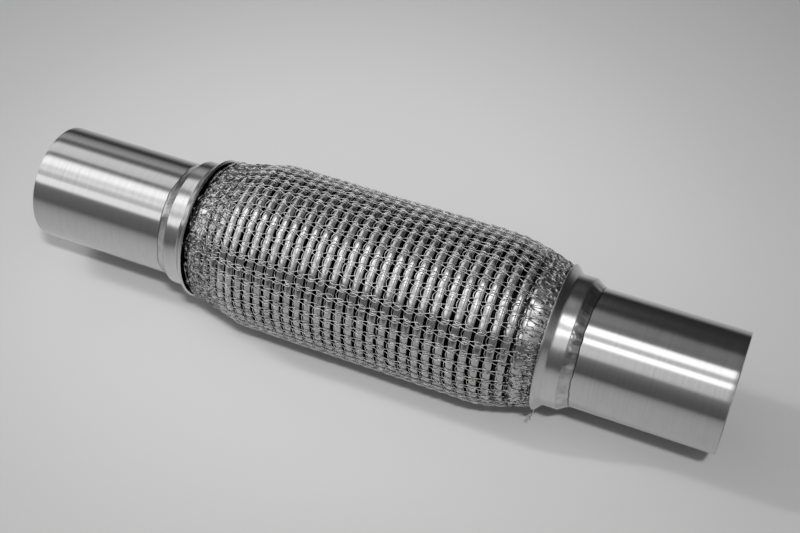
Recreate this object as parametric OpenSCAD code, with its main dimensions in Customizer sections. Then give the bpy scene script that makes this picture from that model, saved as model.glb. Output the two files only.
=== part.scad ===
// Flexible exhaust coupling: two tube stubs, flared end caps, a thin-wall bellows,
// a strip-wound liner inside it and a knitted wire sleeve over it.
// The pipe axis is X, Z is up, and the origin is on the axis, half way between the stub ends.

/* [Stub tubes] */
// Overall length, stub end to stub end
overall_len = 305; // [295:1:330]
// Outside diameter of the tube
pipe_od = 50; // [50:0.05:50.1]
// Wall thickness of the tube
pipe_wall = 1.5; // [1:0.1:1.6]

/* [Bellows] */
// Mean distance from one convolution to the next
pitch = 4.67; // [4.6:0.01:4.7]
// How far the middle convolutions are pushed towards the left end
squeeze = 3.4; // [0:0.1:3.6]
// Outside radius of a crest's rounding
crest_round = 1.55; // [1.4:0.05:1.6]
// Outside diameter over the full-size crests
crest_od = 71; // [70:0.1:71]
// Diameter at the bottom of the valleys, outside the metal
valley_od = 56; // [55:0.5:58]
// Thickness of both plies together
ply = 0.4; // [0.3:0.05:0.45]
// How far the flexible part sits towards +X from the middle
flex_shift = 1.5; // [0:0.1:2]

/* [Wire sleeve] */
// Outside diameter over the full-size crests
sleeve_od = 72.4; // [72.2:0.1:74]
// Thickness of the knitted layer
sleeve_wall = 0.6; // [0.4:0.05:0.6]
// Outside diameter where the sleeve goes under the caps
sleeve_mouth_od = 57; // [56.5:0.1:57.2]
// Length over which the sleeve tapers towards each cap
taper_len = 27; // [24:0.5:30]
// Shape of the left taper: 1 is a straight cone, more is fuller
left_fullness = 1; // [1:0.1:1.4]
// Shape of the right taper
right_fullness = 1.7; // [1.4:0.1:2]

/* [End caps] */
// Outside diameter of the cap's straight part
cap_od = 55.3; // [55.3:0.1:56]
// Thickness of the cap's sheet
cap_wall = 1; // [0.8:0.1:1.2]
// Outside diameter of the flared lip
lip_od = 61.5; // [61:0.1:62]
// Length of the straight part
cap_straight = 6.2; // [5:0.1:6.5]
// Length of the weld along the tube
weld_leg = 4.7; // [3:0.1:5.5]

/* [Liner] */
// Outside diameter of the strip-wound liner
liner_od = 49.2; // [49:0.1:49.3]
// Radial depth of the folded strip
liner_depth = 1.5; // [1.2:0.1:1.6]

/* [Hidden] */
// Convolutions on each rigid length, from the left end to the right end
span_convs = [2, 3, 2, 3, 2, 2, 3, 2, 2, 3, 2, 3, 2];
span_count = len(span_convs) - 2;
function sum(list, n) = n <= 0 ? 0 : list[n - 1] + sum(list, n - 1);
conv_count = sum(span_convs, len(span_convs));

left = -1;
right = 1;
$fn = 96;
fit = 0.05;        // slack between pieces that are pressed or welded together
melt = 0.35;       // depth of the weld's root in the tube
span_gap = 0.3;    // slack between neighbouring spans
arc_steps = 6;     // straight steps in a half turn of a convolution

pipe_r = pipe_od / 2;
crest_r = crest_od / 2;
valley_r = valley_od / 2;
cap_r = cap_od / 2;
sleeve_r = sleeve_od / 2;

// The places below are distances outwards from the middle of the flexible part.
bellows_end = conv_count / 2 * pitch;            // last valley
lip_x = bellows_end + 6;                         // where the sleeve meets the lip
flare_x = lip_x - 0.2 + (lip_od - cap_od) / 2;   // where the 45 degree flare starts
cap_back = flare_x + cap_straight;
toe = cap_back + weld_leg;                       // where the bare tube starts
stub_inner = lip_x + 1.6;                        // inner end of the stub tube
cuff_r = pipe_r + 2 * fit + ply;                 // inside of the bellows cuff, over the ring
cuff_end = cap_back - 0.1;
hem_r = cap_r - cap_wall - fit;                  // outside of the sleeve under the cap
cone_start = lip_x + 1.6;                        // where the bellows cuff starts to open out
collar_start = bellows_end + 2;                  // where the liner's plain collar starts
liner_r = liner_od / 2;

// Place of a valley counted from the left end, from the middle of the flexible part
function valley(n) =
  let (from_middle = n - conv_count / 2)
    from_middle * pitch - squeeze * (1 - pow(2 * from_middle / conv_count, 2));
// The same the other way round: the count of convolutions up to place x
function convs_to(x) =
  let (bend = squeeze * pow(2 / conv_count, 2))
    conv_count / 2 + (sqrt(pitch * pitch + 4 * bend * (x + squeeze)) - pitch) / (2 * bend);
function span_start(k) = valley(sum(span_convs, k));
function span_end(k) = valley(sum(span_convs, k + 1));

// Outside radius of the sleeve at place x
function fullness(x) = x < 0 ? left_fullness : right_fullness;
function taper(x) = pow(max(0, 1 - (lip_x - abs(x)) / taper_len), fullness(x));
function sleeve_at(x) = sleeve_r - (sleeve_r - sleeve_mouth_od / 2) * taper(x);
// Outside radius of the bellows crest at place x, just under the sleeve on both flanks of the crest
function crest_at(x) = min(crest_r, min(sleeve_at(x - 0.6), sleeve_at(x + 0.6)) - sleeve_wall - fit);

// Turns an outline of [radius, place] points about the X axis.
module spun() {
  translate([flex_shift, 0, 0]) rotate([0, 90, 0]) rotate_extrude() children();
}

// Puts a whole outline drawn for the right end on the given side.
module on(side) {
  if (side == left) mirror([0, 1]) children();
  else children();
}

function arc(cx, cy, r, from, to, steps) =
  [for (i = [0 : steps]) let (a = from + (to - from) * i / steps) [cx + r * cos(a), cy + r * sin(a)]];

// One side of the bellows wall over the convolutions from..to; grow is 0 on the centre line
function wave(from, to, grow) = [
  for (n = [from : to - 1])
    let (
      x = valley(n + 0.5),
      top_r = crest_round - ply / 2,
      foot_r = (valley(n + 1) - valley(n)) / 2 - top_r,
      top = crest_at(x) - crest_round,
      foot = valley_r - ply / 2 + foot_r
    )
    each concat(
      arc(foot, valley(n), foot_r - grow, 180, 90, arc_steps),
      arc(top, x, top_r + grow, -90, 90, 2 * arc_steps),
      arc(foot, valley(n + 1), foot_r - grow, 270, 180, arc_steps)
    )
];

function back(list) = [for (i = [len(list) - 1 : -1 : 0]) list[i]];

// An outline drawn for the right end, mirrored when side is left
function put(side, points) = side == left ? back([for (p = points) [p[0], -p[1]]]) : points;

// Wall of the bellows over the convolutions from..to, cut off at places x0 and x1
module bellows_wall(from, to, x0, x1) {
  intersection() {
    polygon(concat(wave(from, to, ply / 2), back(wave(from, to, -ply / 2))));
    translate([0, x0]) square([2 * crest_r, x1 - x0]);
  }
}

module bellows_span(k) {
  first = sum(span_convs, k);
  color("gainsboro") spun()
    bellows_wall(first, first + span_convs[k], span_start(k) + span_gap / 2, span_end(k) - span_gap / 2);
}

// Two convolutions, the second opening outwards as a cone that runs into the cuff
module bellows_cuff(side) {
  inner = span_convs[0];
  crest = side * valley(side == left ? 0.5 : conv_count - 0.5);
  join = crest + 0.9;
  top = crest_at(side * crest);
  cone_top = top - 0.8;
  color("gainsboro") spun() union() {
    if (side == left)
      bellows_wall(0, inner, -join - 0.1, valley(inner) - span_gap / 2);
    else
      bellows_wall(conv_count - inner, conv_count, valley(conv_count - inner) + span_gap / 2, join + 0.1);
    polygon(put(side, [
      [cuff_r, cuff_end], [cuff_r, cone_start], [cone_top, join], [cone_top + ply, join],
      [cuff_r + ply, cone_start + 0.2], [cuff_r + ply, cuff_end]
    ]));
  }
}

// Outline of the sleeve from place x0 to x1, dipping a little over each valley
dip = 0.35;
function sleeve_skin(x0, x1, inset) = [
  for (i = [0 : round((x1 - x0) / pitch * 6)])
    let (
      x = x0 + (x1 - x0) * i / round((x1 - x0) / pitch * 6),
      wave_at = (1 - cos(360 * convs_to(x))) / 2
    )
    [sleeve_at(x) - dip * (1 - wave_at) - inset, x]
];

module sleeve_wall_between(x0, x1) {
  polygon(concat(sleeve_skin(x0, x1, 0), back(sleeve_skin(x0, x1, sleeve_wall))));
}

module mesh_span(k) {
  color("silver") spun() sleeve_wall_between(span_start(k) + span_gap / 2, span_end(k) - span_gap / 2);
}

// Tapered end of the sleeve and its hem, which follows the flare under the cap
module mesh_hem(side) {
  tip = cap_back - 0.6;
  mouth = sleeve_mouth_od / 2;
  inner = span_convs[0];
  thin = 0.45;
  bend = flare_x - cap_wall * tan(22.5);
  color("silver") spun() union() {
    if (side == left) sleeve_wall_between(-lip_x, valley(inner) - span_gap / 2);
    else sleeve_wall_between(valley(conv_count - inner) + span_gap / 2, lip_x);
    polygon(put(side, [
      [mouth, lip_x - 0.2], [hem_r + 0.8, bend - 0.9], [hem_r, bend], [hem_r, tip],
      [hem_r - thin, tip], [hem_r - thin, bend], [hem_r + 0.2, bend - 0.9],
      [mouth - sleeve_wall, lip_x - 0.2]
    ]));
  }
}

// Stepped wall of the folded strip, one step to a turn
module liner_turns(x0, x1, turns) {
  turn = (x1 - x0) / turns;
  strip = liner_depth * 0.45;
  inner = liner_r - liner_depth;
  for (i = [0 : turns - 1]) translate([0, x0 + i * turn]) {
    translate([liner_r - strip, 0]) square([strip, turn * 0.65]);
    translate([inner, turn * 0.45]) square([strip, turn * (i < turns - 1 ? 0.6 : 0.55)]);
    translate([inner, turn * 0.45]) square([liner_depth, turn * 0.2]);
    if (i > 0) translate([inner, 0]) square([liner_depth, turn * 0.12]);
  }
}

module liner_span(k) {
  color("darkgray") spun()
    liner_turns(span_start(k) + span_gap / 2, span_end(k) - span_gap / 2, span_convs[k]);
}

// Last turns of the liner and the plain collar that meets the stub tube
module liner_collar(side) {
  inner = span_convs[0];
  start = (side == left ? -valley(inner) : valley(conv_count - inner)) + span_gap / 2;
  end = stub_inner - 0.3;
  color("darkgray") spun() on(side) union() {
    liner_turns(start, collar_start, 3);
    translate([liner_r - liner_depth, collar_start - 0.5]) square([liner_depth, end - collar_start + 0.5]);
  }
}

module support_ring(side) {
  color("slategray") spun() on(side)
    translate([pipe_r + fit, collar_start + 1]) square([ply, cuff_end - collar_start - 1]);
}

// Straight sheet collar with a 45 degree flare at its inner end
module end_cap(side) {
  rise = (lip_od - cap_od) / 2;
  inner_r = cap_r - cap_wall;
  bend = flare_x - cap_wall * tan(22.5);
  edge = cap_wall * sin(45);
  color("silver") spun() on(side) polygon([
    [cap_r, cap_back], [cap_r, flare_x], [cap_r + rise, flare_x - rise],
    [cap_r + rise - edge, flare_x - rise - edge], [inner_r, bend], [inner_r, cap_back]
  ]);
}

// Tube with a shallow trough where the weld has melted into it
module stub_tube(side) {
  length = overall_len / 2 - side * flex_shift - stub_inner;
  color("lightgray") spun() on(side) difference() {
    translate([pipe_r - pipe_wall, stub_inner]) square([pipe_wall, length]);
    translate([pipe_r - melt, cap_back]) square([pipe_wall, weld_leg]);
  }
}

// Fillet between the cap's back edge and the tube, slightly hollow, with its root in the tube
module weld_bead(side) {
  root = pipe_r - melt + fit;
  start = cap_back + fit;
  leg = toe - 0.15 - start;
  rise = cap_r - pipe_r - 0.1;
  face = [for (t = [0 : 1 / 6 : 1]) [pipe_r + rise * pow(1 - t, 1.25), start + leg * t]];
  color("dimgray") spun() on(side) polygon(concat([[root, start]], face, [[root, start + leg]]));
}

stub_tube(left);  // left_stub_tube
stub_tube(right);  // right_stub_tube
weld_bead(left);  // left_weld_bead
weld_bead(right);  // right_weld_bead
end_cap(left);  // left_end_cap
end_cap(right);  // right_end_cap
support_ring(left);  // left_support_ring
support_ring(right);  // right_support_ring
bellows_cuff(left);  // left_bellows_cuff
bellows_cuff(right);  // right_bellows_cuff
mesh_hem(left);  // left_mesh_hem
mesh_hem(right);  // right_mesh_hem
liner_collar(left);  // left_liner_collar
liner_collar(right);  // right_liner_collar
for (k = [1 : span_count]) {
  bellows_span(k);
  mesh_span(k);
  liner_span(k);
}
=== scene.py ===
"""Flexible exhaust coupling: tube stubs, welds, flared caps, bellows, liner and knitted wire sleeve."""
import math

import bpy
import numpy as np
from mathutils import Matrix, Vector


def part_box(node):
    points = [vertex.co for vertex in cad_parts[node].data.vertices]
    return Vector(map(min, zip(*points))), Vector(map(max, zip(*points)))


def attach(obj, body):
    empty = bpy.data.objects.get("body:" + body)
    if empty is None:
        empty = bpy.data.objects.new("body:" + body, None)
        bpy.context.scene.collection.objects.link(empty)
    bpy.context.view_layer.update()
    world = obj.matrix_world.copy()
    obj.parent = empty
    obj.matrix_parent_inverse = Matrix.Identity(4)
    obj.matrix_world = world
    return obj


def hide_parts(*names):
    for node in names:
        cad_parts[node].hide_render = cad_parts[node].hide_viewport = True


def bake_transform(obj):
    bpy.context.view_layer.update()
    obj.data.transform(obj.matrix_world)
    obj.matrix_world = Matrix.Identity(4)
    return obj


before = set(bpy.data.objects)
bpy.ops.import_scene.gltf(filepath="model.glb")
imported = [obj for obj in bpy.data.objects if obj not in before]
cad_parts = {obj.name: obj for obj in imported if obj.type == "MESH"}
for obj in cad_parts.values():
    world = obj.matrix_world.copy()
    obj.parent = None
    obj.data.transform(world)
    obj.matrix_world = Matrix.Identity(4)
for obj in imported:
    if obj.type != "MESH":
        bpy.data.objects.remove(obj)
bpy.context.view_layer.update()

MM = 0.001
TURN = 2 * math.pi
SIDES = {"left": -1, "right": 1}

# ---------------------------------------------------------------- places, from the frame, in mm


def low(node, axis=0):
    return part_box(node)[0][axis] / MM


def high(node, axis=0):
    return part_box(node)[1][axis] / MM


PITCH = 4.67              # mean distance from one convolution to the next
CONVOLUTIONS = 31
LAST_VALLEY = CONVOLUTIONS / 2
FLEX_HALF = LAST_VALLEY * PITCH
SQUEEZE = 3.4             # how far the middle convolutions are pushed towards the left end
NUDGE = 0.4               # how far all of them sit to the right of the frame's, as seen through the sleeve
CREST_HALF = 1.66         # half the width of a crest
CREST_TALL = 0.62         # how tall its rounding is for its width
MIDDLE = (low("right_end_cap") + high("left_end_cap")) / 2
HALF_LENGTH = high("right_stub_tube")
STUB_R = high("right_stub_tube", 2)
STUB_WALL = 1.5
CAP_R = 27.65
CAP_WALL = 1.0
LIP_R = high("right_end_cap", 2)
CAP_BACK = (high("right_end_cap") - low("left_end_cap")) / 2
LIP_INNER = CAP_BACK - (high("right_end_cap") - low("right_end_cap"))
STUB_INNER = low("right_stub_tube") - MIDDLE
SLEEVE_R = high("mesh_span_6", 2)
CREST_R = high("bellows_span_6", 2)
VALLEY_R = 28.0
PLY = 0.4
CUFF_R = 25.5
LINER_R = high("liner_span_6", 2)
LINER_DEPTH = 1.5
SLEEVE_MOUTH_R = 28.5
RIGHT_FULLER = 1.1        # how much fuller than in the frame the sleeve is where it enters the right cap
POCKET = 4.2              # how far before the left lip the sleeve starts to fall away from it
HEM_R = 26.45             # outside radius of the sleeve under the caps
HEM_REACH = 3.8           # how far past the lip it gets there
UNDER_SLEEVE = 0.65       # from the sleeve's outside down to a crest
LIP_MIDDLE = FLEX_HALF + 6
TAPER = 27
FULLNESS = {-1: 1.0, 1: 1.7}
FLOOR_Z = -SLEEVE_R - 0.1

# Each section of bellows, sleeve and liner bends across one joint; it starts and ends at a valley.
SECTION_CONVS = [2, 3, 2, 3, 2, 2, 3, 2, 3, 2, 3, 2]
CUTS = [1 - LAST_VALLEY + sum(SECTION_CONVS[:k]) for k in range(len(SECTION_CONVS) + 1)]


def settled(x):
    """Where a place along evenly spaced convolutions really lies: the middle ones sit further left."""
    within = np.clip(LAST_VALLEY - np.abs(x) / PITCH, 0, 1)
    return x - SQUEEZE * np.clip(1 - (x / FLEX_HALF) ** 2, 0, None) + NUDGE * within


def taper(x):
    """0 over the full-size middle and 1 at the lips, for one place or an array of places, in mm."""
    x = np.asarray(x, float)
    inward = np.clip(1 - (LIP_MIDDLE - np.abs(x)) / TAPER, 0, 1)
    return np.where(x < 0, inward ** FULLNESS[-1], inward ** FULLNESS[1])


def sleeve_radius(x):
    """Outside radius of the wire sleeve, which narrows to the hem under the caps."""
    x = settled(np.asarray(x, float))
    outside = SLEEVE_R - (SLEEVE_R - SLEEVE_MOUTH_R) * taper(x)
    outside = outside + np.where(x > 0, RIGHT_FULLER, 0) * taper(x) ** 2
    right = np.interp(x - LIP_MIDDLE, [0, 1.6, HEM_REACH], [SLEEVE_MOUTH_R + RIGHT_FULLER, 27.9, HEM_R])
    left = np.interp(-x - LIP_MIDDLE, [-POCKET, -2.6, 0, HEM_REACH], [29.4, 28.0, 27.1, HEM_R])
    return np.where(x > LIP_MIDDLE, right, np.where(x < POCKET - LIP_MIDDLE, left, outside))


def crest_radius(x):
    return float(min(CREST_R, sleeve_radius(x) - UNDER_SLEEVE))


# ---------------------------------------------------------------- mesh helpers


def quad_mesh(name, points, quads, smooth=True):
    """An object in metres from points in mm, x along the pipe, and an array of quads."""
    points, quads = np.asarray(points, float) * MM, np.asarray(quads, np.int32)
    mesh = bpy.data.meshes.new(name)
    mesh.vertices.add(len(points))
    mesh.vertices.foreach_set("co", points.astype(np.float32).ravel())
    mesh.loops.add(quads.size)
    mesh.loops.foreach_set("vertex_index", quads.ravel())
    mesh.polygons.add(len(quads))
    mesh.polygons.foreach_set("loop_start", np.arange(0, quads.size, 4, dtype=np.int32))
    mesh.update(calc_edges=True)
    mesh.validate()
    mesh.polygons.foreach_set("use_smooth", np.full(len(mesh.polygons), smooth))
    obj = bpy.data.objects.new(name, mesh)
    bpy.context.scene.collection.objects.link(obj)
    return obj


def grid_quads(rows, columns):
    """Quads of a grid that closes on itself both ways, such as a ring's skin."""
    i, j = np.meshgrid(np.arange(rows), np.arange(columns), indexing="ij")
    a, b = i * columns + j, i * columns + (j + 1) % columns
    c, d = (i + 1) % rows * columns + (j + 1) % columns, (i + 1) % rows * columns + j
    return np.stack([a, b, c, d], -1).reshape(-1, 4)


def around(x, r, angle):
    """Points at place x, radius r and angle about the pipe; angle 0 faces -Y and 90 degrees is up."""
    return np.stack([settled(x) + MIDDLE, -r * np.cos(angle), r * np.sin(angle)], -1)


def add_shade(piece, shades, segments):
    """Stores on a ring how dark each point of its outline is, from 0 to 1, for its material to read."""
    values = np.repeat(np.asarray(shades, np.float32), segments)
    piece.data.attributes.new("shade", "FLOAT", "POINT").data.foreach_set("value", values)


def valley_shades(outline, deepest=1.0):
    """Shades of a bellows wall: 0 on the crests, deepest well down the flanks."""
    lit_depth, fade = 0.7, 1.3
    depth = np.array([crest_radius(x) - r for x, r in outline])
    return np.clip((depth - lit_depth) / fade, 0, deepest)


def outwards(angle):
    """Unit directions straight away from the pipe's axis."""
    return np.stack([np.zeros_like(angle), -np.cos(angle), np.sin(angle)], -1)


def ring(name, outline, segments, shape=None):
    """A closed outline of (place, radius) turned about the pipe. shape(x, r, angle) may move its points."""
    outline = np.asarray(outline, float)
    angle = np.linspace(0, TURN, segments, endpoint=False)
    x = np.repeat(outline[:, 0:1], segments, 1)
    r = np.repeat(outline[:, 1:2], segments, 1)
    a = np.repeat(angle[None], len(outline), 0)
    if shape:
        x, r = shape(x, r, a)
    return quad_mesh(name, around(x, r, a).reshape(-1, 3), grid_quads(len(outline), segments)[:, ::-1])


def arc(x, r, radius, start, end, steps, tall=1.0):
    """Outline points on an arc about (x, r), with angles in degrees from +X towards larger radius."""
    a = np.radians(np.linspace(start, end, steps + 1))
    return [(x + radius * math.cos(t), r + tall * radius * math.sin(t)) for t in a]


def mirrored(outline, side):
    """An outline drawn for the right end, put on the given side with its direction kept."""
    return outline if side > 0 else [(-x, r) for x, r in outline][::-1]


def sharpen(obj, angle=35):
    """Marks edges over the angle as sharp, so that flat ends and rims shade crisply."""
    obj.data.set_sharp_from_angle(angle=math.radians(angle))
    return obj


def waves(seed, count, slowest, fastest, along):
    """A smooth repeatable function of angle and place, between about -1 and 1."""
    rng = np.random.default_rng(seed)
    turns = rng.integers(slowest, fastest + 1, count)
    slopes, starts = rng.normal(0, along, count), rng.uniform(0, TURN, count)

    def value(angle, x):
        total = sum(np.sin(k * angle + q * x + s) for k, q, s in zip(turns, slopes, starts))
        return total / math.sqrt(count)
    return value


def finish_piece(obj, material):
    """Gives a piece its material."""
    obj.data.materials.append(material)
    return obj


# ---------------------------------------------------------------- materials


class Graph:
    """A small helper that adds nodes to one material's or world's tree."""

    def __init__(self, owner):
        owner.use_nodes = True
        self.tree = owner.node_tree
        self.tree.nodes.clear()

    def add(self, kind, inputs=None, **settings):
        node = self.tree.nodes.new("ShaderNode" + kind)
        for key, value in settings.items():
            setattr(node, key, value)
        for key, value in (inputs or {}).items():
            if isinstance(value, bpy.types.NodeSocket):
                self.tree.links.new(value, node.inputs[key])
            else:
                node.inputs[key].default_value = value
        return node

    def math(self, operation, *values):
        return self.add("Math", dict(enumerate(values)), operation=operation).outputs[0]

    def ramp(self, value, stops):
        """stops are (position, grey)."""
        node = self.add("ValToRGB", {"Fac": value})
        elements = node.color_ramp.elements
        while len(elements) < len(stops):
            elements.new(0.5)
        for element, (place, grey) in zip(elements, stops):
            element.position = place
            element.color = (grey, grey, grey, 1)
        return node.outputs[0]

    def scaled(self, value, factor, offset):
        return self.math("ADD", self.math("MULTIPLY", value, factor), offset)

    def mix(self, share, first, second):
        return self.add("Mix", {"Factor": share, 6: first, 7: second}, data_type="RGBA").outputs[2]

    def shade(self):
        """What add_shade stored on the piece."""
        return self.add("Attribute", attribute_name="shade").outputs["Fac"]

    def noise(self, vector, scale, detail, roughness):
        inputs = {"Vector": vector, "Scale": scale, "Detail": detail, "Roughness": roughness}
        return self.add("TexNoise", inputs).outputs[0]

    def lathe_noise(self, along, across, detail=3, roughness=0.6):
        """Noise in coordinates that run along the pipe and round it, each with its own scale."""
        radial = 200
        place = self.add("TexCoord").outputs["Object"]
        x, y, z = self.add("SeparateXYZ", {0: place}).outputs
        angle = self.math("ARCTAN2", z, y)
        reach = self.math("SQRT", self.math("ADD", self.math("MULTIPLY", y, y), self.math("MULTIPLY", z, z)))
        parts = {0: self.math("MULTIPLY", x, along), 1: self.math("MULTIPLY", angle, across),
                 2: self.math("MULTIPLY", reach, radial)}
        return self.noise(self.add("CombineXYZ", parts).outputs[0], 1, detail, roughness)

    def painted_shade_below(self, tone, waist, flank, shoulder):
        """The tone times painted shade: kept near the sleeve's top and darkened by height to its waist and
        below, fitted to the photograph.
        """
        z = self.add("SeparateXYZ", {0: self.add("TexCoord").outputs["Object"]}).outputs[2]
        height = self.scaled(z, 0.5 / (SLEEVE_R * MM), 0.5)
        kept = self.ramp(height, [(0.5, waist), (0.65, flank), (0.8, shoulder), (0.92, 1)])
        return self.math("MULTIPLY", tone, kept)

    def steel(self, colour, roughness, bump=None, distance=0.02, strength=0.3, **sockets):
        """Bare metal, with distance the height of its bumps in mm."""
        inputs = {"Base Color": colour, "Metallic": 1.0, "Roughness": roughness}
        if bump is not None:
            node = self.add("Bump", {"Height": bump, "Strength": strength, "Distance": distance * MM})
            inputs["Normal"] = node.outputs[0]
        shader = self.add("BsdfPrincipled", inputs | sockets)
        self.add("OutputMaterial", {"Surface": shader.outputs[0]})


def new_material(name):
    material = bpy.data.materials.new(name)
    return material, Graph(material)


def polished_tube():
    """Stainless tube with very fine brushing round it, fainter drawing marks along it and cloudy patches."""
    material, g = new_material("polished_tube")
    lines = g.lathe_noise(9000, 1.2, 4, 0.65)
    broad = g.lathe_noise(900, 0.8)
    clouds = g.lathe_noise(35, 2.5, 4)
    drawn = g.lathe_noise(45, 70, 4)
    both = g.scaled(lines, 0.6, g.math("MULTIPLY", broad, 0.4))
    relief = g.scaled(drawn, 0.09, both)
    colour = g.ramp(both, [(0.3, 0.50), (0.5, 0.56), (0.7, 0.62)])
    rough = g.scaled(both, 0.12, g.scaled(clouds, 0.06, 0.09))
    tangent = g.add("Tangent", direction_type="RADIAL", axis="X").outputs[0]
    brushed = {"Anisotropic": 0.8, "Anisotropic Rotation": 0.25, "Tangent": tangent}
    g.steel(colour, rough, bump=relief, distance=0.01, strength=0.55, **brushed)
    return material


def cap_sheet():
    """Spun sheet: softer brushing round the cap, a little darker than the tube."""
    material, g = new_material("cap_sheet")
    lines = g.lathe_noise(5000, 1.5)
    clouds = g.lathe_noise(60, 4)
    colour = g.ramp(lines, [(0.3, 0.54), (0.7, 0.65)])
    rough = g.scaled(clouds, 0.14, 0.11)
    g.steel(colour, rough, bump=lines, distance=0.01, strength=0.3)
    return material


def weld_metal():
    """Weld metal: rippled, with a matt oxide bloom and a painted dark reflection along its toe."""
    material, g = new_material("weld_metal")
    grain = g.lathe_noise(1500, 30, 5, 0.7)
    bloom = g.lathe_noise(300, 6)
    # painted dark reflection: the toe band stored on the bead mixes its colour towards dark grey
    colour = g.mix(g.shade(), g.ramp(bloom, [(0.35, 0.42), (0.65, 0.60)]), PAINTED_DARK)
    rough = g.scaled(grain, 0.2, 0.1)
    g.steel(colour, rough, bump=grain, distance=0.03, strength=0.3)
    return material


def bellows_sheet():
    """Bright formed strip with fine lines round it, with painted shade: darker by height towards the waist,
    and darkened in its valleys, over a wider band towards the waist.
    """
    material, g = new_material("bellows_sheet")
    lines = g.lathe_noise(6000, 2)
    marks = g.lathe_noise(250, 12)
    # painted shade: the strip darkened by height towards the waist, and mixed towards dark grey in its
    # valleys, over a wider band lower down
    light = g.painted_shade_below(1.0, 0.73, 0.86, 0.94)
    tone = g.math("MULTIPLY", g.ramp(marks, [(0.35, 0.56), (0.65, 0.70)]), light)
    depth = g.math("DIVIDE", g.shade(), g.math("POWER", light, 3.0))
    rough = g.scaled(marks, 0.12, 0.06)
    g.steel(g.mix(depth, tone, PAINTED_DARK), rough, bump=g.scaled(lines, 0.3, marks), distance=0.02, strength=0.2)
    return material


def mesh_wire(name, along, across, darkest_tone):
    """Drawn stainless wire, bright, with changes of tone whose size along and round the pipe is given, and
    painted shade darkening it by height towards the sleeve's waist.
    """
    material, g = new_material(name)
    tone = g.lathe_noise(along, across)
    # painted shade: the wire darkened by height towards the sleeve's waist
    colour = g.painted_shade_below(g.ramp(tone, [(0.4, darkest_tone), (0.6, 0.97)]), 0.76, 0.9, 1)
    g.steel(colour, g.scaled(tone, 0.16, 0.09))
    return material


def liner_strip():
    """Folded strip inside the bellows, satin and slightly stained."""
    material, g = new_material("liner_strip")
    stain = g.lathe_noise(80, 3, 4)
    lines = g.lathe_noise(4000, 2)
    colour = g.ramp(stain, [(0.3, 0.34), (0.7, 0.48)])
    g.steel(colour, g.scaled(stain, 0.2, 0.22), bump=lines)
    return material


def paper_floor():
    """Smooth matt card under the part, with a painted pool of light: its colour falls off away from a bright
    spot near the middle.
    """
    material, g = new_material("paper_floor")
    painted_light_centre = (-0.045, 0.06, FLOOR_Z * MM)
    painted_light_falloff = [(0.05, 0.43), (0.1, 0.42), (0.15, 0.385), (0.2, 0.337), (0.3, 0.27), (0.45, 0.2), (0.8, 0.12)]
    place = g.add("TexCoord").outputs["Object"]
    grain = g.noise(place, 900, 3, 0.5)
    distance = g.add("VectorMath", {0: place, 1: painted_light_centre}, operation="DISTANCE").outputs["Value"]
    level = g.ramp(g.scaled(grain, 0.004, distance), painted_light_falloff)
    shader = g.add("BsdfPrincipled", {"Base Color": level, "Roughness": 0.6, "Specular IOR Level": 0.2})
    g.add("OutputMaterial", {"Surface": shader.outputs[0]})
    return material


# a dark grey for painted shade in the bellows' valleys and for a painted dark reflection at the weld toes
PAINTED_DARK = (0.12, 0.12, 0.12, 1)
TUBE, CAP, WELD = polished_tube(), cap_sheet(), weld_metal()
BELLOWS, LINER = bellows_sheet(), liner_strip()
# the hem wire's tone goes down nearly to black: painted shade among the crowded, folded wires of the hems and
# the folded layer
WIRE, HEM_WIRE = mesh_wire("mesh_wire", 500, 14, 0.6), mesh_wire("hem_wire", 800, 24, 0.06)

# ---------------------------------------------------------------- rigid ends

TUBE_SEGMENTS, CAP_SEGMENTS, WELD_SEGMENTS = 256, 512, 720


def stub_tube(side, word):
    """Square-cut tube with small deburred edges at its open rim."""
    outer, inner = STUB_R, STUB_R - STUB_WALL
    end, start, burr = HALF_LENGTH - side * MIDDLE, STUB_INNER, 0.18
    places = np.linspace(start, end - burr, 40)
    outline = [(x, outer) for x in places]
    outline += arc(end - burr, outer - burr, burr, 90, 0, 4)[1:]
    outline += arc(end - burr, inner + burr, burr, 0, -90, 4)
    outline += [(x, inner) for x in places[::-1][1:]]
    piece = ring(f"{word}_tube", mirrored(outline, side), TUBE_SEGMENTS)
    finish_piece(sharpen(piece), TUBE)
    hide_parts(f"{word}_stub_tube")
    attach(piece, f"{word}_end")


def end_cap(side, word):
    """Sheet collar: straight over the bellows cuff, then a tight bend and a lip flared at 45 degrees."""
    edge, bend = 0.3, 1.3
    rise, slant = LIP_R - CAP_R, CAP_WALL * math.sin(math.pi / 4)
    corner = LIP_INNER + rise + slant
    centre_x, centre_r = corner + bend * math.tan(math.pi / 8), CAP_R + bend
    outline = arc(CAP_BACK - edge, CAP_R - edge, edge, 0, 90, 4)
    outline += [(x, CAP_R) for x in np.linspace(CAP_BACK - 0.8, centre_x + 0.2, 12)]
    outline += arc(centre_x, centre_r, bend, 270, 225, 8)
    outline += [(corner - t * rise, CAP_R + t * rise) for t in (0.5, 0.7, 0.85, 0.97)]
    outline += [(LIP_INNER + slant - 0.1, LIP_R), (LIP_INNER + slant - 0.22, LIP_R - 0.06)]
    outline += [(LIP_INNER + 0.08, LIP_R - slant + 0.12), (LIP_INNER, LIP_R - slant)]
    outline += arc(centre_x, centre_r, bend + CAP_WALL, 225, 270, 8)
    outline += [(CAP_BACK, CAP_R - CAP_WALL)]
    wobble, ripple = waves(11 + side, 5, 2, 7, 0.02), waves(15 + side, 8, 5, 19, 0.5)

    def shape(x, r, a):
        lip = np.clip((corner - np.abs(x)) / rise, 0, 1)
        planished = 0.018 * ripple(a, x) * (r > CAP_R - 0.5)
        return x + 0.12 * lip * wobble(a, 0), r + 0.06 * lip * wobble(a + 1, 0) + planished
    piece = ring(f"{word}_cap", mirrored(outline, side), CAP_SEGMENTS, shape)
    finish_piece(sharpen(piece), CAP)
    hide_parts(f"{word}_end_cap")
    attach(piece, f"{word}_end")


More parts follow.
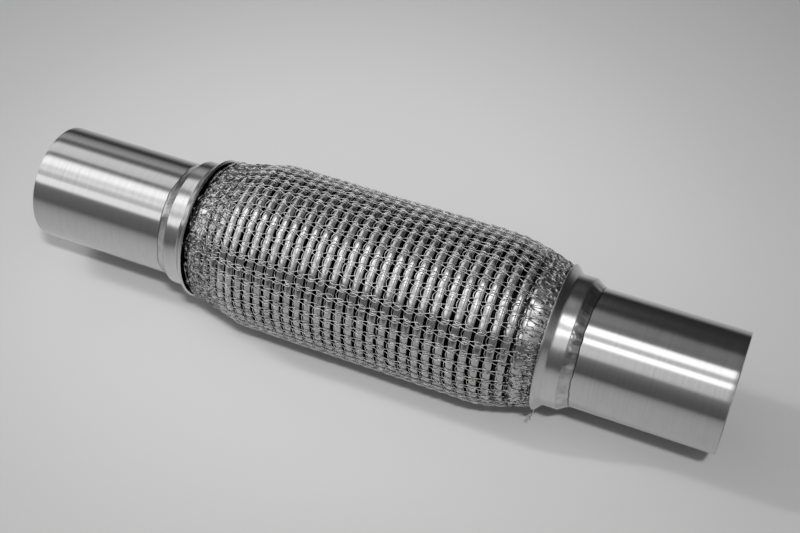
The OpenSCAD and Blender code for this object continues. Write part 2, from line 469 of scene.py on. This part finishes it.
def weld_bead(side, word):
    """Hollow fillet weld with faint ripples; the right one has a lump where the bead starts and stops."""
    toe = (high("right_weld_bead") if side > 0 else -low("left_weld_bead")) - side * MIDDLE
    leg, rise = toe - CAP_BACK, CAP_R - STUB_R - 0.1
    start, root, across = CAP_BACK - 0.02, STUB_R - 0.05, np.linspace(0, 1, 40)
    outline = [(start, root)]
    outline += [(start + leg * t, STUB_R + rise * (1 - t) ** 1.35 * (1 + 0.25 * t)) for t in across]
    outline += [(toe, root)]
    slow, quick = waves(21 + side, 5, 3, 9, 0.1), waves(31 + side, 6, 11, 34, 0.1)
    # each lump: its angle and width in degrees, and its height in mm
    lumps = {1: [(47, 17, 0.55), (62, 5, 0.35), (-8, 11, 0.4)], -1: [(95, 9, 0.2), (20, 12, 0.12)]}[side]
    ripples, height = 88, {1: 0.025, -1: 0.015}[side]

    def shape(x, r, a):
        along = np.clip((np.abs(x) - CAP_BACK) / leg, 0, 1)
        dome = np.sin(math.pi * along) * (r > STUB_R)
        bead = height * np.abs(np.sin(ripples * a / 2 + 1.4 * along)) + 0.8 * height * quick(a, 0)
        for place, width, lump in lumps:
            gap = np.degrees((a - math.radians(place) + math.pi) % TURN - math.pi)
            bead = bead + lump * np.exp(-(gap / width) ** 2) * (1 + 0.35 * quick(a, 1))
        spread = along * (0.3 * slow(a, 0) + 0.1 * quick(a, 2))
        return x + side * spread, r + bead * dome
    outline = mirrored(outline, side)
    piece = ring(f"{word}_weld", outline, WELD_SEGMENTS, shape)
    # a painted dark reflection along the toe, stored for the weld material
    painted_toe_dark = [np.interp((abs(x) - CAP_BACK) / leg, [0.86, 0.93], [0, 1]) for x, r in outline]
    add_shade(piece, painted_toe_dark, WELD_SEGMENTS)
    finish_piece(sharpen(piece, 60), WELD)
    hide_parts(f"{word}_weld_bead")
    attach(piece, f"{word}_end")


# ---------------------------------------------------------------- bellows

BELLOWS_SEGMENTS = 160
OUTER_STEPS, INNER_STEPS = 14, 6      # steps round a crest, on the outside and the inside of the wall


def bellows_wall(first, last, grow, crest_steps, foot_steps):
    """One side of the wall over whole convolutions, from valley first to last; grow 0 is mid-thickness."""
    outline = []
    for n in np.arange(first, last):
        x = (n + 0.5) * PITCH
        top_r, foot_r = CREST_HALF - PLY / 2 + grow, PITCH / 2 - CREST_HALF + PLY / 2 - grow
        top = crest_radius(x) - CREST_TALL * CREST_HALF
        foot = VALLEY_R - PLY + foot_r + grow + PLY / 2
        points = arc(x - PITCH / 2, foot, foot_r, 270, 360, foot_steps)
        points += arc(x, top, top_r, 180, 0, crest_steps, CREST_TALL)
        points += arc(x + PITCH / 2, foot, foot_r, 180, 270, foot_steps)
        outline += points if n == first else points[1:]
    return outline


def bellows_section(name, first, last):
    """The convolutions between two valleys, slightly dented."""
    outer = bellows_wall(first, last, PLY / 2, OUTER_STEPS, 4)
    inner = bellows_wall(first, last, -PLY / 2, INNER_STEPS, 2)
    dents = waves(41, 8, 3, 23, 0.35)

    def shape(x, r, a):
        high_up = np.clip((r - VALLEY_R) / (CREST_R - VALLEY_R), 0, 1)
        return x, r + 0.05 * high_up * dents(a, x)
    piece = ring(name, outer + inner[::-1], BELLOWS_SEGMENTS, shape)
    add_shade(piece, valley_shades(outer + inner[::-1]), BELLOWS_SEGMENTS)
    return finish_piece(sharpen(piece, 60), BELLOWS)


def bellows_end(side, word):
    """The end convolution, opening by a smooth cone into the cuff that is pressed under the cap."""
    first, cone_lift = LAST_VALLEY - 1, {1: 0.35, -1: -0.6}[side]
    cone = ((-0.4, 2.4), (0.8, 1.6))      # places past the lip, and heights over the cuff
    bend_place, bend = LIP_MIDDLE + 4.6, 3.0
    outer, inner = [], []
    for wall, grow, steps in ((outer, PLY / 2, OUTER_STEPS), (inner, -PLY / 2, INNER_STEPS)):
        x, top_r = (first + 0.5) * PITCH, CREST_HALF - PLY / 2 + grow
        foot_r = PITCH / 2 - CREST_HALF + PLY / 2 - grow
        top = crest_radius(side * x) - CREST_TALL * CREST_HALF
        foot = VALLEY_R - PLY + foot_r + grow + PLY / 2
        cuff = CUFF_R + PLY / 2 + grow
        wall += arc(first * PITCH, foot, foot_r, 270, 360, 5)
        wall += arc(x, top, top_r, 180, 60, steps, CREST_TALL)
        wall += [(LIP_MIDDLE + past, cuff + height + cone_lift) for past, height in cone]
        wall += arc(bend_place, cuff + bend, bend, 235, 270, 5)
        wall += [(CAP_BACK - 0.1, cuff)]
    dents = waves(51 + side, 6, 3, 12, 0.2)

    def shape(x, r, a):
        return x, r + 0.08 * np.clip((r - 26) / 4, 0, 1) * dents(a, x)
    outline = mirrored(outer + inner[::-1], side)
    piece = ring(f"{word}_bellows_end", outline, BELLOWS_SEGMENTS, shape)
    # painted shade, as in the valleys: fully dark in the left end's pocket under the lip, half dark on the
    # right end's cone
    add_shade(piece, valley_shades(outline, {1: 0.5, -1: 1.0}[side]), BELLOWS_SEGMENTS)
    finish_piece(sharpen(piece, 60), BELLOWS)
    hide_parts(f"{word}_bellows_cuff")
    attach(piece, f"{word}_end")


# ---------------------------------------------------------------- liner

LINER_SEGMENTS, LINER_STEPS = 128, 24     # round the liner, and along one turn of its strip
STRIP_STEP = 0.75                         # how far the strip's folds rise and sink
COLLAR_LENGTH, COLLAR_GAP = 5.3, 0.3      # of the plain collars, and from there to the stub tubes


def liner_radii(x, angle):
    """Outer and inner radius of the folded strip, whose step winds round the liner."""
    turn = (x / PITCH - angle / TURN) % 1
    step = np.clip(np.minimum(turn, 0.62 - turn) / 0.05, 0, 1)
    groove = np.clip(np.minimum(turn - 0.40, 1.02 - turn) / 0.05, 0, 1)
    return LINER_R - STRIP_STEP * (1 - step), LINER_R - LINER_DEPTH + STRIP_STEP * (1 - groove)


def liner_tube(name, start, end, collar=0):
    """Liner wall from start to end; collar is the length of plain tube at its far end."""
    plain = end - collar
    places = np.linspace(start, end, max(2, int(round((end - start) / PITCH * LINER_STEPS))) + 1)
    angle = np.linspace(0, TURN, LINER_SEGMENTS, endpoint=False)
    x, a = np.meshgrid(places, angle, indexing="ij")
    outer, inner = liner_radii(x, a)
    if collar:
        smooth = np.clip((np.abs(x) - abs(plain)) / 0.5, 0, 1)
        outer = outer + (LINER_R - outer) * smooth
        inner = inner + (LINER_R - LINER_DEPTH - inner) * smooth
    points = np.concatenate([around(x, outer, a), around(x[::-1], inner[::-1], a)]).reshape(-1, 3)
    piece = quad_mesh(name, points, grid_quads(2 * len(places), len(angle))[:, ::-1])
    return finish_piece(sharpen(piece, 50), LINER)


# ---------------------------------------------------------------- knitted sleeve

WALES = 42                # loops in one row round the sleeve
WIRE_R = 0.16
STEPS = 26                # points along the wire of one loop
LOOP_HEIGHT = 0.88        # half the loop's height, in pitches
LOOP_BULGE = 0.205        # how much the head is wider than the foot, in wales
LOOP_GATHER = 0.12        # how much the legs draw together, in wales
LAYER = 0.20              # how far wires pass over and under each other
SAG = 0.45                # how far the sleeve sinks between crests
FOLD_PLACE = 60.4         # where the folded layer starts, to the left of the middle
TIGHT_PLACE = 71.6        # where the rows drawn into the right cap start
ROW_GAP = 2.5             # between the rows of both
FOLD_ROWS, TIGHT_ROWS = 6, 6
drift, lean, swell = waves(61, 7, 1, 5, 0.05), waves(62, 6, 2, 9, 0.06), waves(63, 7, 2, 11, 0.09)


def tube_along(path, outward, radius, sides=6, closed=True):
    """Points and quads of a round wire along a path, with outward as each point's reference direction."""
    if closed:
        tangent = np.roll(path, -1, 0) - np.roll(path, 1, 0)
    else:
        tangent = np.gradient(path, axis=0)
    tangent /= np.linalg.norm(tangent, axis=1)[:, None]
    normal = outward - (outward * tangent).sum(1)[:, None] * tangent
    normal /= np.linalg.norm(normal, axis=1)[:, None]
    across = np.cross(tangent, normal)
    a = np.linspace(0, TURN, sides, endpoint=False)
    offsets = np.cos(a)[None, :, None] * normal[:, None] + np.sin(a)[None, :, None] * across[:, None]
    points = path[:, None] + radius * offsets
    quads = grid_quads(len(path), sides)
    if not closed:
        quads = quads[: (len(path) - 1) * sides]
    return points.reshape(-1, 3), quads


def course(place, seed, height=LOOP_HEIGHT * PITCH, turn=0.0, lift=0.0, loose=1.0, crumple=0.0):
    """One row of knitted loops round the sleeve, centred on place: a closed wire."""
    rng = np.random.default_rng(seed)
    t = np.arange(WALES * STEPS) / STEPS * TURN
    stitch = t / TURN
    knots = np.arange(WALES + 1)

    def each_loop(spread):
        values = rng.normal(0, spread * loose, WALES)
        return np.interp(stitch, knots, np.append(values, values[0]))
    bulge = LOOP_BULGE * (1 + each_loop(0.16))
    tall = height * (1 + each_loop(0.07))
    wander, lag = each_loop(0.035), each_loop(0.10)
    around_wales = stitch + bulge * np.sin(2 * t) + LOOP_GATHER * np.sin(t) + wander
    angle = TURN * (around_wales + turn) / WALES
    x = place - tall * np.cos(t) + lag
    slide = drift(angle, place) * 0.006 * loose
    if crumple:
        ruffle = waves(seed + 7, 6, 6, 17, 0.1)
        x = x + crumple * ruffle(angle, 0)
        slide = slide + 0.02 * crumple * ruffle(angle + 2, 0)
    angle = angle + slide
    x = x + 0.25 * lean(angle, place)
    valley = 0.5 + 0.5 * np.cos(TURN * (x / PITCH - LAST_VALLEY))
    middle = sleeve_radius(x) - WIRE_R - LAYER
    r = middle + lift - LAYER * np.cos(2 * t) - SAG * valley + 0.06 * swell(angle, x) + each_loop(0.05)
    path = around(x, r, angle)
    return tube_along(path, outwards(angle), WIRE_R)


def knit(name, rows, material=WIRE):
    """Rows of loops joined into one piece."""
    points, quads, count = [], [], 0
    for p, q in rows:
        points.append(p)
        quads.append(q + count)
        count += len(p)
    return finish_piece(quad_mesh(name, np.concatenate(points), np.concatenate(quads)), material)


def folded_rows(start, end):
    """Rows of the crumpled second layer folded back over the sleeve's left end, those from start to end."""
    rows = []
    for k in range(FOLD_ROWS):
        place = -(FOLD_PLACE + k * ROW_GAP)
        if start <= place < end:
            lift, turn = (0.42 if k else 0.3), 0.5 + 0.13 * k
            rows.append(course(place, 400 + k, height=2.4, turn=turn, lift=lift, loose=2.6, crumple=0.55))
    return rows


def hem_rows(side):
    """The sleeve's gathered ends: drawn tight on the right, crumpled and frayed on the left."""
    if side > 0:
        rows = [course((LAST_VALLEY - 1 + k) * PITCH, 300 + k, loose=1.6, crumple=0.15 * k) for k in range(2)]
        return rows + [course(TIGHT_PLACE + ROW_GAP * k, 310 + k, 3.3, turn=0.5 * k, loose=1.8, crumple=0.3)
                       for k in range(TIGHT_ROWS)]
    rows = [course(-(LAST_VALLEY + k) * PITCH, 300 + k, loose=1.6, crumple=0.15 * k) for k in range(3)]
    frayed = course(-75.2, 410, height=1.6, turn=0.3, lift=1.7, loose=3.5, crumple=0.8)
    return rows + folded_rows(-FLEX_HALF - 4, CUTS[0] * PITCH - 1) + [frayed]


def stray_wire():
    """A broken wire end that hooks out of the sleeve beside the right cap."""
    t = np.linspace(0, 1, 24)
    hook = np.clip(t - 0.7, 0, 1) * 3
    x = 78.2 - 3.0 * t + np.sin(3.2 * t) + 2.4 * hook
    r = 29.2 + 6.2 * np.sin(math.pi * 0.5 * t) + 0.4 * hook
    angle = np.radians(-41 - 9 * t)
    path = around(x, r, angle)
    points, quads = tube_along(path, outwards(angle), 0.26, 8, closed=False)
    foot = np.array([[0, 1, 2, 3], [0, 3, 4, 7], [4, 5, 6, 7]])[:, ::-1]
    tip = foot[:, ::-1] + len(points) - 8
    return points, np.concatenate([quads, foot, tip])


# ---------------------------------------------------------------- build the pieces

for word, side in SIDES.items():
    stub_tube(side, word)
    end_cap(side, word)
    weld_bead(side, word)
    bellows_end(side, word)
    hem = knit(f"{word}_hem", hem_rows(side), HEM_WIRE)
    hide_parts(f"{word}_mesh_hem")
    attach(hem, f"{word}_end")
    collar_start, collar_end = side * CUTS[-1] * PITCH, side * (STUB_INNER - COLLAR_GAP)
    collar = liner_tube(f"{word}_liner_end", collar_start, collar_end, side * COLLAR_LENGTH)
    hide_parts(f"{word}_liner_collar")
    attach(collar, f"{word}_end")

# the hook gets the liner's darker metal instead of the wire's: painted shade, for a wire end that lies in
# shadow
hook = finish_piece(quad_mesh("stray_wire", *stray_wire()), LINER)
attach(hook, "right_end")

for k, (start, end) in enumerate(zip(CUTS, CUTS[1:])):
    number = k + 1
    rows = [course(v * PITCH, 100 + int(v + LAST_VALLEY)) for v in np.arange(start, end)]
    section = {
        "mesh_span": knit(f"sleeve_{number}", rows),
        "bellows_span": bellows_section(f"bellows_{number}", start, end),
        "liner_span": liner_tube(f"liner_{number}", start * PITCH, end * PITCH),
    }
    if number < len(SECTION_CONVS):
        for nodes, piece in section.items():
            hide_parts(f"{nodes}_{number}")
    pieces = list(section.values())
    if number == 1:
        pieces.append(knit("folded_layer", folded_rows(start * PITCH - 1, end * PITCH), HEM_WIRE))
    for piece in pieces:
        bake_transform(piece)

# the support rings are the frame's own, and only need a material
for word in SIDES:
    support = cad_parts[f"{word}_support_ring"]
    support.data.materials.clear()
    support.data.materials.append(LINER)

# ---------------------------------------------------------------- floor, light and camera


def floor():
    size = 6000
    corners = [(-size, -size, FLOOR_Z), (size, -size, FLOOR_Z), (size, size, FLOOR_Z), (-size, size, FLOOR_Z)]
    plane = quad_mesh("floor", corners, [[0, 1, 2, 3]], smooth=False)
    plane.data.materials.append(paper_floor())


# Brightness of the room by angle about the pipe: 0 is level towards the camera, 90 overhead, 180 behind.
# LEFT_BANDS is the room to the left, RIGHT_BANDS the middle, which the stubs reflect, EAST_BANDS the right.
RIGHT_BANDS = [(0, 0.10), (14, 0.13), (26, 0.20), (31, 0.28), (35, 0.75), (50, 0.85), (54, 0.9),
               (56.5, 2.4), (64, 2.4), (66, 0.75), (73, 0.8), (76.5, 2.2), (87, 2.2), (90, 0.22),
               (118, 0.2), (126, 0.05), (180, 0.03)]
LEFT_BANDS = [(0, 0.14), (26, 0.2), (30, 0.3), (34, 1.35), (46, 1.35), (49, 0.7), (57, 0.75), (60, 1.1),
              (70, 1.1), (76, 1.6), (88, 1.5), (92, 0.8), (96, 0.2), (100, 0.25), (104, 0.9), (125, 1.05),
              (130, 0.4), (134, 0.1), (141, 0.2), (146, 0.5), (154, 0.45), (164, 0.25), (170, 0.05),
              (180, 0.04)]
EAST_BANDS = [(0, 0.12), (14, 0.15), (26, 0.22), (35, 0.34), (55, 0.36), (66, 0.32), (86, 0.28), (91, 0.2),
              (118, 0.18), (126, 0.05), (180, 0.03)]
BRIGHTEST = 2.4


def ceiling_lamp(name, place, length, width, watts):
    """A lamp that lights the floor; the metal reflects the room's bands instead."""
    light = bpy.data.lights.new(name, "AREA")
    light.shape, light.size, light.size_y, light.energy = "RECTANGLE", length, width, watts
    source = bpy.data.objects.new(name, light)
    source.location = place
    source.rotation_euler = (-Vector(place)).to_track_quat("-Z", "Y").to_euler()
    source.visible_glossy = False
    bpy.context.scene.collection.objects.link(source)


def room():
    """Ceiling lights in rows along the pipe, with a window's glow to the left, as the world's background."""
    world = bpy.data.worlds.new("room")
    bpy.context.scene.world = world
    g = Graph(world)
    direction = g.add("TexCoord").outputs["Generated"]
    x, y, z = g.add("SeparateXYZ", {0: direction}).outputs
    angle = g.math("ARCTAN2", z, g.math("MULTIPLY", y, -1.0))
    share = g.math("DIVIDE", angle, math.pi)
    right, left, east = [g.ramp(share, [(a / 180, level / BRIGHTEST) for a, level in stops])
                         for stops in (RIGHT_BANDS, LEFT_BANDS, EAST_BANDS)]
    # x is how far a direction points to the right, from -1 to 1
    leftness = g.add("MapRange", {"Value": x, "From Min": -0.12, "From Max": -0.42}).outputs[0]
    eastness = g.ramp(x, [(0.02, 0), (0.14, 1), (0.38, 1), (0.45, 0.2), (0.55, 0.2), (0.62, 1)])
    whole = g.mix(eastness, g.mix(leftness, right, left), east)
    background = g.add("Background", {"Color": whole, "Strength": BRIGHTEST})
    g.add("OutputWorld", {"Surface": background.outputs[0]})


def camera():
    """The photograph's own view of the part."""
    lens = bpy.data.cameras.new("camera")
    lens.lens, lens.sensor_width = 58.96, 36
    view = bpy.data.objects.new("camera", lens)
    view.location = (0.1556, -0.3371, 0.4058)
    aim = Vector((0.0065, 0.0110, 0.0))
    view.rotation_euler = (aim - view.location).to_track_quat("-Z", "Y").to_euler()
    lens.clip_start, lens.clip_end = 0.01, 50
    bpy.context.scene.collection.objects.link(view)
    bpy.context.scene.camera = view


floor()
ceiling_lamp("right_lamp", (0.4, -0.64, 1.2), 0.15, 0.06, 16)
ceiling_lamp("left_lamp", (-1.1, -0.25, 1.2), 0.08, 0.5, 10)
room()
camera()
bpy.context.scene.view_settings.view_transform = "Standard"
